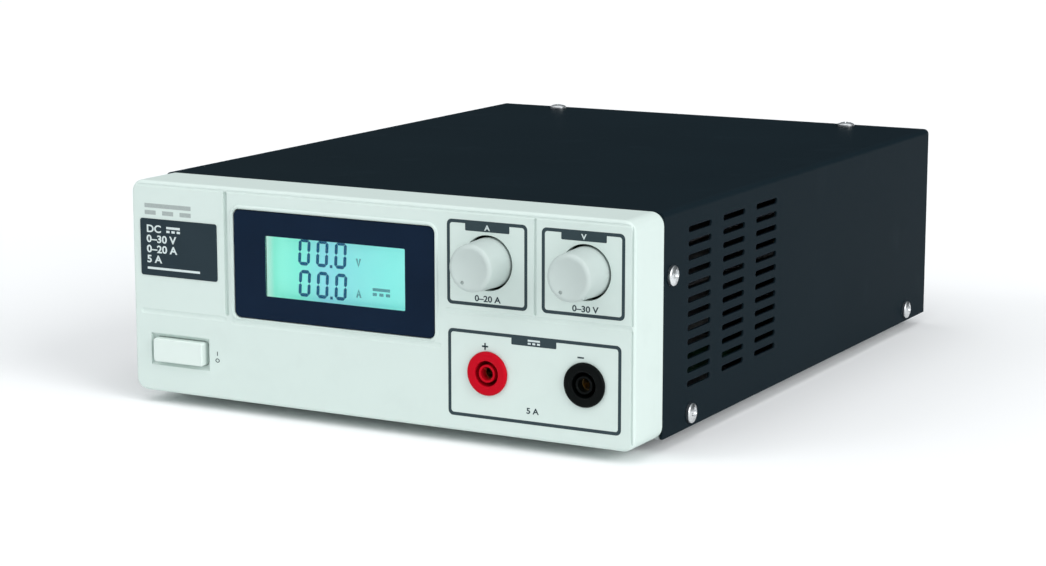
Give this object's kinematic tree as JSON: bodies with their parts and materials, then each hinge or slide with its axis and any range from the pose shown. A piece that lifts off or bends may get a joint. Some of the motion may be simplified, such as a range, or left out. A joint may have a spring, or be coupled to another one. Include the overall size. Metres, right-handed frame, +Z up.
{
  "type": "bench power supply",
  "caption": "Bench power supply in a steel case with a moulded front: lit display, two knobs, push button, shrouded sockets, rear fan, mains inlet and screw terminals.",
  "frame": {"origin": "middle of the plane that the feet stand on, centred in width and between the knobs' fronts and the main terminals' ends", "axes": "+X to the right seen from the front, +Y from the front to the back, +Z up"},
  "size_m": [0.2248, 0.3404, 0.0914],
  "materials": {
    "bezel": "fine moulded texture",
    "window": "smoked, polished",
    "black_moulding": "fine moulded texture",
    "display_glass": "lit turquoise",
    "light_guide": "milky",
    "label": "printed film",
    "board": "solder mask",
    "fasteners": "bright zinc",
    "pot_metal": "plated",
    "knobs": "satin",
    "button": "satin",
    "rod": "natural nylon",
    "red_plastic": "satin gloss",
    "black_plastic": "satin gloss",
    "brass": "turned",
    "chassis": "zinc plated sheet",
    "cover": "satin black powder coat",
    "cover_screws": "bright zinc",
    "feet": "matte",
    "guard": "plated wire",
    "inlet_plastic": "fine moulded texture",
    "fuse": "clear glass with plated caps",
    "heat_sinks": "extruded",
    "epoxy": "moulded epoxy",
    "ferrite": "ground ferrite",
    "winding_tape": "polyester tape",
    "capacitor_sleeve": "shrink sleeve",
    "copper": "enamelled copper",
    "lead_red": "insulation",
    "lead_brown": "insulation",
    "ribbon": "ribbon cable"
  },
  "bodies": {
    "case": {"front_bezel": "bezel", "display_window": "window", "display_frame": "black_moulding", "display_glass": "display_glass", "display_backlight": "light_guide", "label_plate": "label", "control_board": "board", "control_board_screws": "fasteners", "current_pot": "pot_metal", "voltage_pot": "pot_metal", "power_switch": "black_moulding", "switch_bracket": "chassis", "positive_socket": "red_plastic", "negative_socket": "black_plastic", "socket_contacts": "brass", "socket_nuts": "fasteners", "chassis_base": "chassis", "top_cover": "cover", "rear_panel": "chassis", "bezel_screws": "fasteners", "cover_screws": "cover_screws", "clinch_nuts": "fasteners", "rear_rivets": "fasteners", "feet": "feet", "foot_fixings": "fasteners", "fan_frame": "black_moulding", "fan_guard": "guard", "fan_fixings": "fasteners", "mains_inlet": "inlet_plastic", "inlet_pins": "brass", "inlet_screws": "fasteners", "terminal_bases": "black_plastic", "terminal_studs": "brass", "terminal_nuts": "fasteners", "main_board": "board", "board_fixings": "fasteners", "heat_sinks": "heat_sinks", "power_transistors": "epoxy", "transformer_core": "ferrite", "transformer_winding": "winding_tape", "capacitors": "capacitor_sleeve", "chokes": "copper", "bridge_rectifier": "epoxy", "output_leads": "lead_red", "mains_leads": "lead_brown", "aux_leads": "lead_red", "ribbon_cable": "ribbon"},
    "current_dial": {"current_knob": "knobs", "current_shaft": "pot_metal"},
    "voltage_dial": {"voltage_knob": "knobs", "voltage_shaft": "pot_metal"},
    "power_button": {"power_button": "button", "power_rod": "rod"},
    "fan_rotor": {"fan_rotor": "black_moulding"},
    "fuse_drawer": {"fuse_drawer": "inlet_plastic", "mains_fuse": "fuse"},
    "positive_insert": {"positive_insert": "brass"},
    "positive_cap": {"positive_cap": "red_plastic"},
    "negative_insert": {"negative_insert": "brass"},
    "negative_cap": {"negative_cap": "black_plastic"}
  },
  "joints": [
    {"name": "current_turn", "type": "hinge", "parent": "case", "child": "current_dial", "pos_m": [0.05, -0.15675, 0.069], "axis": [0, 1, 0], "range_deg": [0, 300]},
    {"name": "voltage_turn", "type": "hinge", "parent": "case", "child": "voltage_dial", "pos_m": [0.09, -0.15675, 0.069], "axis": [0, 1, 0], "range_deg": [0, 300]},
    {"name": "power_push", "type": "slide", "parent": "case", "child": "power_button", "axis": [0, 1, 0], "range_m": [-0.003, 0.0008]},
    {"name": "fan_spin", "type": "hinge", "parent": "case", "child": "fan_rotor", "pos_m": [-0.062, 0.12825, 0.047], "axis": [0, 1, 0], "continuous": true},
    {"name": "fuse_pull", "type": "slide", "parent": "case", "child": "fuse_drawer", "axis": [0, 1, 0], "range_m": [0, 0.014]},
    {"name": "positive_travel", "type": "slide", "parent": "case", "child": "positive_insert", "axis": [0, 1, 0], "range_m": [0, 0.005]},
    {"name": "positive_unscrew", "type": "hinge", "parent": "positive_insert", "child": "positive_cap", "pos_m": [-0.0085, 0.15325, 0.055], "axis": [0, 1, 0], "range_deg": [0, 1800.5]},
    {"name": "negative_travel", "type": "slide", "parent": "case", "child": "negative_insert", "axis": [0, 1, 0], "range_m": [0, 0.005]},
    {"name": "negative_unscrew", "type": "hinge", "parent": "negative_insert", "child": "negative_cap", "pos_m": [0.0235, 0.15325, 0.055], "axis": [0, 1, 0], "range_deg": [0, 1800.5]}
  ],
  "couplings": [
    {"joint": "positive_unscrew", "follows": "positive_travel", "rad_per_m": 6283.2},
    {"joint": "negative_unscrew", "follows": "negative_travel", "rad_per_m": 6283.2}
  ]
}
